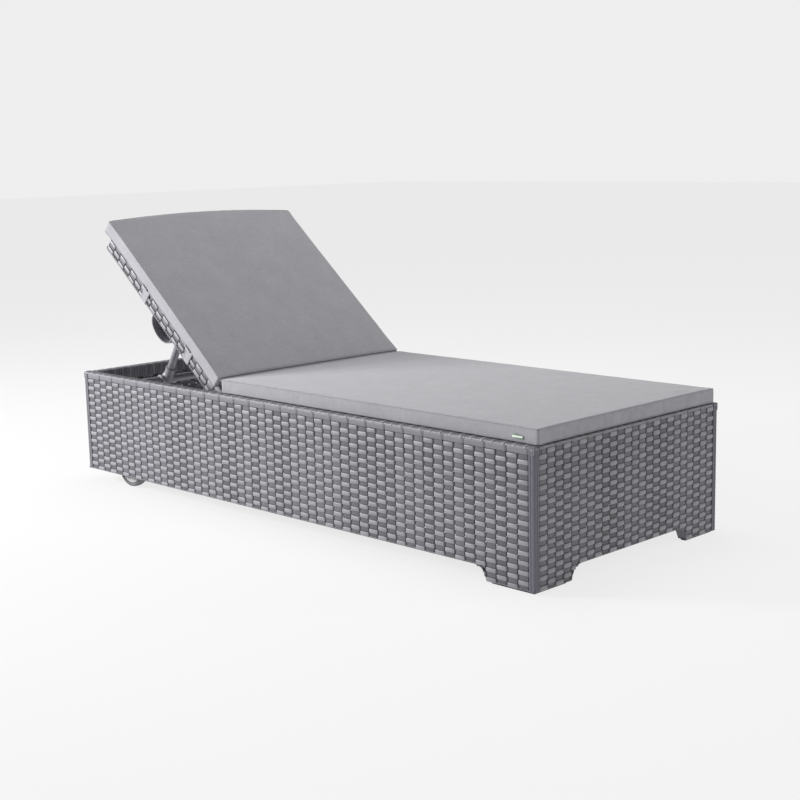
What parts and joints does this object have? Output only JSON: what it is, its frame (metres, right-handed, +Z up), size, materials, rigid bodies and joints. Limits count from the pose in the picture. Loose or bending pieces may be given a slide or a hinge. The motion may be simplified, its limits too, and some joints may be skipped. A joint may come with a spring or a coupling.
{
  "type": "sun lounger",
  "caption": "Woven sun lounger with a hinged backrest held by a folding stay in notched racks, grey seat and back cushions and transport wheels.",
  "frame": {"origin": "on the floor under the middle of the body", "axes": "+X from the head end to the foot end, +Z up, +Y to the left when facing the foot end"},
  "size_m": [2, 0.81, 0.8863],
  "materials": {
    "wicker": "woven flat resin strands, satin",
    "frame_paint": "powder-coated aluminium tube",
    "stay_metal": "powder-coated tube",
    "fitting": "moulded",
    "cushion": "plain woven outdoor fabric over foam",
    "tyre": "matt",
    "hub": "moulded",
    "pad": "matt"
  },
  "bodies": {
    "base": {"side_skin_left": "wicker", "side_skin_right": "wicker", "end_skin_foot": "wicker", "end_skin_head": "wicker", "deck_mat": "wicker", "foot_left": "wicker", "foot_right": "wicker", "top_rail_left": "frame_paint", "low_rail_left": "frame_paint", "top_rail_right": "frame_paint", "low_rail_right": "frame_paint", "top_rail_foot": "frame_paint", "low_rail_foot": "frame_paint", "top_rail_head": "frame_paint", "low_rail_head": "frame_paint", "corner_post_foot_left": "frame_paint", "corner_post_head_left": "frame_paint", "rack_post_front_left": "frame_paint", "rack_post_rear_left": "frame_paint", "wheel_bracket_left": "frame_paint", "hinge_bracket_left": "frame_paint", "rack_left": "frame_paint", "corner_post_foot_right": "frame_paint", "corner_post_head_right": "frame_paint", "rack_post_front_right": "frame_paint", "rack_post_rear_right": "frame_paint", "wheel_bracket_right": "frame_paint", "hinge_bracket_right": "frame_paint", "rack_right": "frame_paint", "deck_rail_hinge": "frame_paint", "deck_rail_middle": "frame_paint", "wheel_rail_front": "frame_paint", "wheel_rail_rear": "frame_paint", "foot_pad_left": "pad", "foot_pad_right": "pad", "seat_cushion": "cushion", "axle": "stay_metal"},
    "backrest": {"back_shell": "wicker", "back_stile_left": "frame_paint", "back_stile_right": "frame_paint", "back_top_rail": "frame_paint", "back_slat_low": "frame_paint", "back_slat_high": "frame_paint", "back_pivot_tube": "frame_paint", "back_cushion": "cushion", "cushion_strap_low": "cushion", "cushion_strap_high": "cushion", "stay_housing_left": "stay_metal", "stay_housing_right": "stay_metal"},
    "stay": {"stay_pivot_tube": "stay_metal", "stay_crossbar": "stay_metal", "stay_leg_left": "stay_metal", "stay_leg_right": "stay_metal", "stay_tee_left": "fitting", "stay_tee_right": "fitting"},
    "wheel_left": {"tyre_left": "tyre", "hub_left": "hub"},
    "wheel_right": {"tyre_right": "tyre", "hub_right": "hub"}
  },
  "joints": [
    {"name": "backrest_hinge", "type": "hinge", "parent": "base", "child": "backrest", "pos_m": [-0.29, 0, 0.35], "axis": [0, 1, 0], "range_deg": [-34.5, 5]},
    {"name": "stay_pivot", "type": "hinge", "parent": "backrest", "child": "stay", "pos_m": [-0.61221, 0, 0.54505], "axis": [0, 1, 0], "range_deg": [-13.5, 93.15]},
    {"name": "wheel_left_spin", "type": "hinge", "parent": "base", "child": "wheel_left", "pos_m": [-0.803, 0.357, 0.065], "axis": [0, 1, 0], "continuous": true},
    {"name": "wheel_right_spin", "type": "hinge", "parent": "base", "child": "wheel_right", "pos_m": [-0.803, -0.357, 0.065], "axis": [0, 1, 0], "continuous": true}
  ],
  "couplings": [
    {"joint": "stay_pivot", "follows": "backrest_hinge", "ratio": -2.7}
  ]
}
